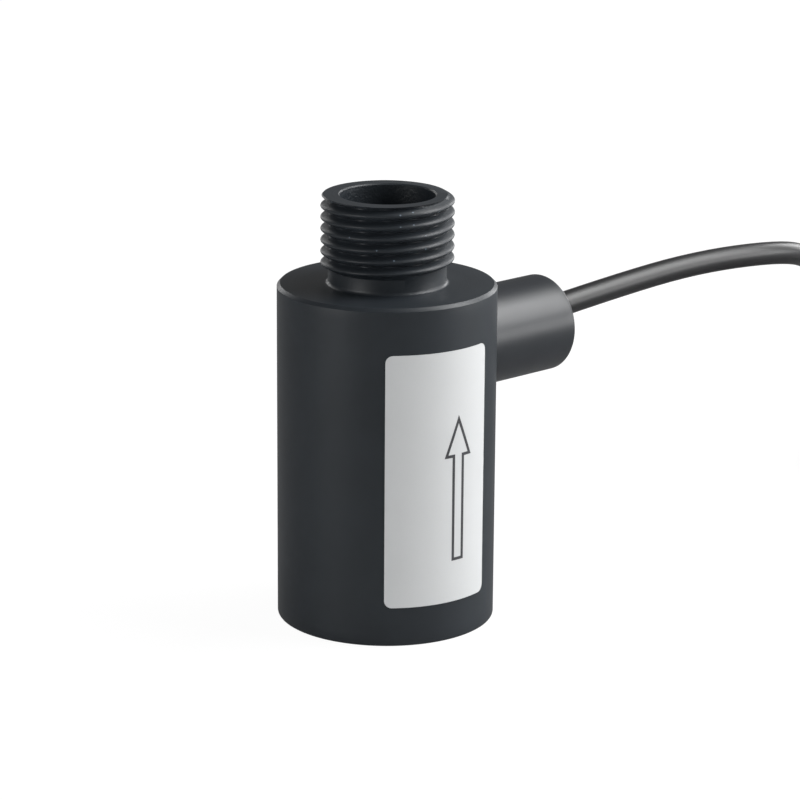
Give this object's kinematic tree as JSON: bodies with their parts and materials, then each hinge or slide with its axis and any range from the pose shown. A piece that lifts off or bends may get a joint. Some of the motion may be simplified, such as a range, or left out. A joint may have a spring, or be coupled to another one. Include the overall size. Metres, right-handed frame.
{
  "type": "paddle flow switch",
  "caption": "In-line paddle flow switch: threaded pipe housing with a hinged magnetic paddle, a potted reed sensor in a side boss and a cable lead.",
  "frame": {"origin": "centre of the inlet face, the flat foot of the housing", "axes": "+Z along the flow, from inlet to outlet; +X along the sensor boss, the way the cable leaves"},
  "size_m": [0.1804, 0.0551, 0.0684],
  "materials": {
    "housing_plastic": "black engineering plastic, turned, satin",
    "boss_plastic": "black engineering plastic, turned, satin",
    "potting_resin": "cast black resin, glossy with a low meniscus",
    "label_film": "silver-grey polyester film with a printed flow arrow",
    "natural_moulding": "natural acetal moulding",
    "paddle_moulding": "blue-grey acetal moulding",
    "magnet_metal": "nickel plated magnet",
    "stainless": "stainless steel, drawn and polished",
    "spring_steel": "stainless spring steel",
    "reed_glass": "greenish clear glass",
    "tinned_wire": "tinned copper, soft bright",
    "sleeve_plastic": "thin translucent insulating sleeve",
    "cable_jacket": "black PVC cable jacket, slightly sheeny",
    "core_brown": "brown PVC core insulation",
    "core_blue": "blue PVC core insulation",
    "tie_nylon": "black nylon cable tie"
  },
  "bodies": {
    "housing": {"body": "housing_plastic", "sensor_boss": "boss_plastic", "potting": "potting_resin", "label": "label_film", "cartridge": "natural_moulding", "hinge_pin": "stainless", "retaining_ring": "spring_steel", "reed_capsule": "reed_glass", "reed_front_lead": "tinned_wire", "reed_rear_lead": "tinned_wire", "lead_sleeve": "sleeve_plastic", "lead_splices": "tinned_wire", "inner_core_brown": "core_brown", "inner_core_blue": "core_blue", "cable_lead": "cable_jacket", "cable_coil": "cable_jacket", "cable_tail": "cable_jacket", "coil_tie": "tie_nylon", "end_core_brown": "core_brown", "end_core_blue": "core_blue", "core_tips": "tinned_wire"},
    "paddle_group": {"paddle": "paddle_moulding", "paddle_magnet": "magnet_metal", "magnet_cap": "natural_moulding"}
  },
  "joints": [
    {"name": "paddle_hinge", "type": "hinge", "parent": "housing", "child": "paddle_group", "pos_m": [0.0048, 0, 0.035], "axis": [0, 1, 0], "range_deg": [0, 50]}
  ]
}
